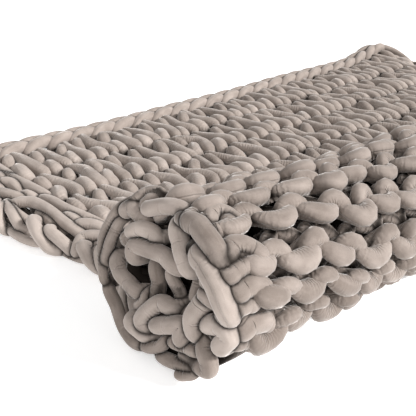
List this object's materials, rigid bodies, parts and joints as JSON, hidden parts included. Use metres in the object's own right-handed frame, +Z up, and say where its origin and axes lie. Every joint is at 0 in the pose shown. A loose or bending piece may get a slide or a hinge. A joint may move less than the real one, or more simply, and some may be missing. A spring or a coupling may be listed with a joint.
{
  "type": "chunky knitted velvet blanket",
  "caption": "Chunky hand-knitted blanket of filled velvet tube, lying flat with one long side rolled up and over onto it.",
  "frame": {"origin": "middle of the blanket's box, on the surface that it rests on", "axes": "+X along the roll, +Y from the roll towards the bound-off edge, +Z up"},
  "size_m": [1.838, 1.1302, 0.2586],
  "materials": {
    "velvet": "soft taupe grey velvet with a short pile and a pale sheen"
  },
  "bodies": {
    "root": {"blanket": "velvet"}
  },
  "joints": []
}
